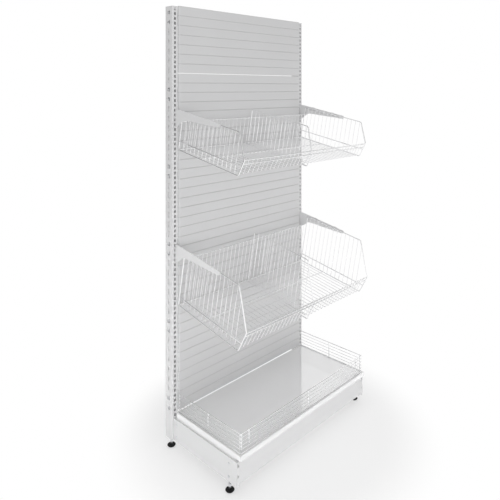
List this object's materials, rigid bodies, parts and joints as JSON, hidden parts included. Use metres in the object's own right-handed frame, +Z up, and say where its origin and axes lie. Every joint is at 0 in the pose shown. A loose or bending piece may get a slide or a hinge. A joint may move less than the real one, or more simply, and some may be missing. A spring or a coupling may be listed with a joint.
{
  "type": "basket display rack",
  "caption": "Free-standing shop rack with slotted uprights, ribbed back panels, sloping wire baskets on hook-in brackets and a low fenced deck on levelling feet.",
  "frame": {"origin": "on the floor, in the middle of the whole rack's box", "axes": "+Z up, the open front faces -Y, +X to the right seen from the front"},
  "size_m": [1.043, 0.5856, 2.29],
  "materials": {
    "upright_paint": "light grey powder coat",
    "panel_paint": "light grey powder coat",
    "base_paint": "light grey powder coat",
    "deck_paint": "light grey gloss coat",
    "wire_chrome": "bright plated wire",
    "bracket_paint": "light grey powder coat",
    "zinc": "bright zinc plate",
    "cap_plastic": "moulded",
    "foot_plastic": "moulded black"
  },
  "bodies": {
    "stand": {"left_upright": "upright_paint", "right_upright": "upright_paint", "upright_caps": "cap_plastic", "tie_bar_bolts": "zinc", "tie_bar_nuts": "zinc", "panel_hangers": "panel_paint", "left_base_leg": "base_paint", "right_base_leg": "base_paint", "leg_hook_blocks": "base_paint", "leg_bolts": "zinc", "leg_foot_nuts": "zinc", "upright_foot_plates": "zinc", "kick_plate_clips": "base_paint", "tie_bar_1": "upright_paint", "tie_bar_2": "upright_paint", "tie_bar_3": "upright_paint", "tie_bar_4": "upright_paint", "tie_bar_5": "upright_paint", "tie_bar_6": "upright_paint", "back_panel_1": "panel_paint", "back_panel_2": "panel_paint", "back_panel_3": "panel_paint", "back_panel_4": "panel_paint", "upper_left_bracket": "bracket_paint", "upper_right_bracket": "bracket_paint", "lower_left_bracket": "bracket_paint", "lower_right_bracket": "bracket_paint"},
    "upper_basket": {"upper_basket_frame": "wire_chrome", "upper_basket_floor": "wire_chrome", "upper_basket_back": "wire_chrome", "upper_basket_left_side": "wire_chrome", "upper_basket_right_side": "wire_chrome", "upper_basket_lip": "wire_chrome", "upper_basket_hooks": "bracket_paint"},
    "upper_divider": {"upper_divider": "wire_chrome"},
    "lower_basket": {"lower_basket_frame": "wire_chrome", "lower_basket_floor": "wire_chrome", "lower_basket_back": "wire_chrome", "lower_basket_left_side": "wire_chrome", "lower_basket_right_side": "wire_chrome", "lower_basket_lip": "wire_chrome", "lower_basket_hooks": "bracket_paint"},
    "lower_divider": {"lower_divider": "wire_chrome"},
    "deck": {"deck": "deck_paint", "deck_stiffeners": "deck_paint"},
    "left_fence": {"left_fence": "wire_chrome"},
    "front_fence": {"front_fence": "wire_chrome"},
    "right_fence": {"right_fence": "wire_chrome"},
    "kick_plate": {"kick_plate": "base_paint"},
    "front_left_foot": {"front_left_foot_stud": "zinc", "front_left_foot_pad": "foot_plastic"},
    "rear_left_foot": {"rear_left_foot_stud": "zinc", "rear_left_foot_pad": "foot_plastic"},
    "front_right_foot": {"front_right_foot_stud": "zinc", "front_right_foot_pad": "foot_plastic"},
    "rear_right_foot": {"rear_right_foot_stud": "zinc", "rear_right_foot_pad": "foot_plastic"}
  },
  "joints": [
    {"name": "upper_basket_lift_off", "type": "slide", "parent": "stand", "child": "upper_basket", "axis": [0, -0.866, 0.5], "range_m": [0, 0.6]},
    {"name": "upper_divider_lift_out", "type": "slide", "parent": "upper_basket", "child": "upper_divider", "axis": [0, -0.184, 0.9829], "range_m": [0, 0.25]},
    {"name": "lower_basket_lift_off", "type": "slide", "parent": "stand", "child": "lower_basket", "axis": [0, -0.866, 0.5], "range_m": [0, 0.6]},
    {"name": "lower_divider_lift_out", "type": "slide", "parent": "lower_basket", "child": "lower_divider", "axis": [0, -0.184, 0.9829], "range_m": [0, 0.32]},
    {"name": "deck_lift_off", "type": "slide", "parent": "stand", "child": "deck", "axis": [0, -0.866, 0.5], "range_m": [0, 0.3]},
    {"name": "left_fence_lift_out", "type": "slide", "parent": "deck", "child": "left_fence", "axis": [0, 0, 1], "range_m": [0, 0.15]},
    {"name": "front_fence_lift_out", "type": "slide", "parent": "deck", "child": "front_fence", "axis": [0, 0, 1], "range_m": [0, 0.15]},
    {"name": "right_fence_lift_out", "type": "slide", "parent": "deck", "child": "right_fence", "axis": [0, 0, 1], "range_m": [0, 0.15]},
    {"name": "kick_plate_pull_off", "type": "slide", "parent": "stand", "child": "kick_plate", "axis": [0, -1, 0], "range_m": [0, 0.25]},
    {"name": "front_left_foot_level", "type": "slide", "parent": "stand", "child": "front_left_foot", "axis": [0, 0, 1], "range_m": [0, 0.012]},
    {"name": "rear_left_foot_level", "type": "slide", "parent": "stand", "child": "rear_left_foot", "axis": [0, 0, 1], "range_m": [0, 0.012]},
    {"name": "front_right_foot_level", "type": "slide", "parent": "stand", "child": "front_right_foot", "axis": [0, 0, 1], "range_m": [0, 0.012]},
    {"name": "rear_right_foot_level", "type": "slide", "parent": "stand", "child": "rear_right_foot", "axis": [0, 0, 1], "range_m": [0, 0.012]}
  ]
}
